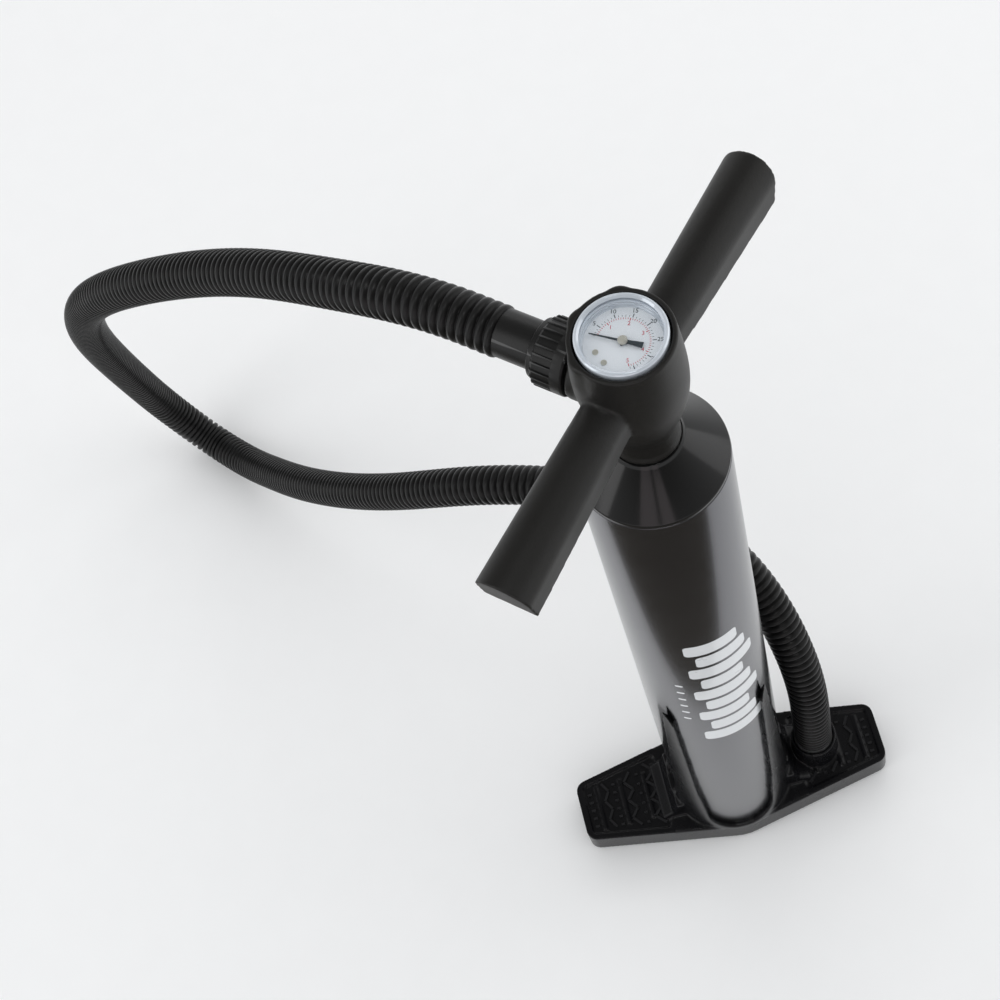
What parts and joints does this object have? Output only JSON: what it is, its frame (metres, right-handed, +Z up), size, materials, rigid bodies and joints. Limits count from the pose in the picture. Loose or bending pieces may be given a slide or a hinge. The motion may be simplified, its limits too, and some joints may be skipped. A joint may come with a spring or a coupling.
{
  "type": "stand-up hand air pump",
  "caption": "Stand-up T-handle air pump with a tall barrel on a foot plate, a pressure gauge in the hub and a corrugated hose parked in the plate.",
  "frame": {"origin": "on the floor, at the barrel's axis, in the underside of the base pad", "axes": "+Z up along the barrel; +X along the foot plate towards the hose's parking cup; +Y away from the user"},
  "size_m": [0.4854, 0.5317, 0.642],
  "materials": {
    "plate_plastic": "satin black moulded plastic",
    "pad_rubber": "matte",
    "barrel_paint": "gloss silver grey",
    "cap_plastic": "gloss black",
    "seal_rubber": "matte",
    "screw_steel": "zinc plated",
    "bushing_plastic": "matte",
    "hose_plastic": "soft satin black",
    "rod_aluminium": "anodised satin",
    "handle_plastic": "fine-grained satin black",
    "gauge_steel": "satin",
    "gauge_brass": "satin",
    "dial_white": "printed white",
    "gauge_window": "clear",
    "bezel_chrome": "polished",
    "fitting_plastic": "satin black",
    "needle_black": "matte"
  },
  "bodies": {
    "base": {"foot_plate": "plate_plastic", "base_pad": "pad_rubber", "barrel": "barrel_paint", "barrel_plug": "cap_plastic", "plug_o_ring": "seal_rubber", "plug_screws": "screw_steel", "top_cap": "cap_plastic", "cap_o_ring": "seal_rubber", "rod_bushing": "bushing_plastic", "hose": "hose_plastic"},
    "piston_ring": {"piston_seal": "seal_rubber"},
    "handle": {"piston_rod": "rod_aluminium", "piston_body": "cap_plastic", "piston_retainer": "screw_steel", "flap_stop": "screw_steel", "piston_nut": "screw_steel", "stop_bumper": "seal_rubber", "valve_guide": "bushing_plastic", "outlet_spring": "screw_steel", "handle_housing": "handle_plastic", "rod_o_ring": "seal_rubber", "rod_nut": "screw_steel", "grip_cover_left": "handle_plastic", "grip_cover_right": "handle_plastic", "grip_screws": "screw_steel", "gauge_gasket": "seal_rubber", "gauge_case": "gauge_steel", "gauge_stem": "gauge_brass", "bourdon_tube": "gauge_brass", "gauge_movement": "gauge_brass", "gauge_dial": "dial_white", "dial_screws": "gauge_brass", "gauge_lens": "gauge_window", "gauge_bezel": "bezel_chrome", "port_washer": "seal_rubber", "hose_top_cuff": "fitting_plastic"},
    "inlet_flap": {"intake_flap": "seal_rubber"},
    "poppet": {"outlet_poppet": "bushing_plastic"},
    "needle": {"gauge_needle": "needle_black", "needle_cap": "gauge_brass"},
    "nut": {"union_nut": "fitting_plastic"},
    "hose_end": {"hose_tail_cuff": "fitting_plastic", "nozzle": "fitting_plastic"}
  },
  "joints": [
    {"name": "pump_stroke", "type": "slide", "parent": "base", "child": "piston_ring", "axis": [0, 0, 1], "range_m": [0, 0.45], "deforming": ["hose"]},
    {"name": "handle_turn", "type": "hinge", "parent": "piston_ring", "child": "handle", "pos_m": [0, 0, 0.6], "axis": [0, 0, 1], "range_deg": [-47.7, 42.3], "deforming": ["hose"]},
    {"name": "intake_flap_drop", "type": "slide", "parent": "handle", "child": "inlet_flap", "axis": [0, 0, -1], "range_m": [0, 0.0014]},
    {"name": "outlet_poppet_lift", "type": "slide", "parent": "handle", "child": "poppet", "axis": [0, 0, 1], "range_m": [0, 0.0025], "deforming": ["outlet_spring"]},
    {"name": "needle_swing", "type": "hinge", "parent": "handle", "child": "needle", "pos_m": [0, 0, 0.633], "axis": [0, 0, -1], "range_deg": [0, 250]},
    {"name": "nut_turn", "type": "hinge", "parent": "handle", "child": "nut", "pos_m": [0, 0, 0.596], "axis": [-0.7396, 0.673, 0], "range_deg": [0, 720]},
    {"name": "hose_end_lift", "type": "slide", "parent": "base", "child": "hose_end", "axis": [0, 0, 1], "range_m": [0, 0.05], "deforming": ["hose"]}
  ]
}
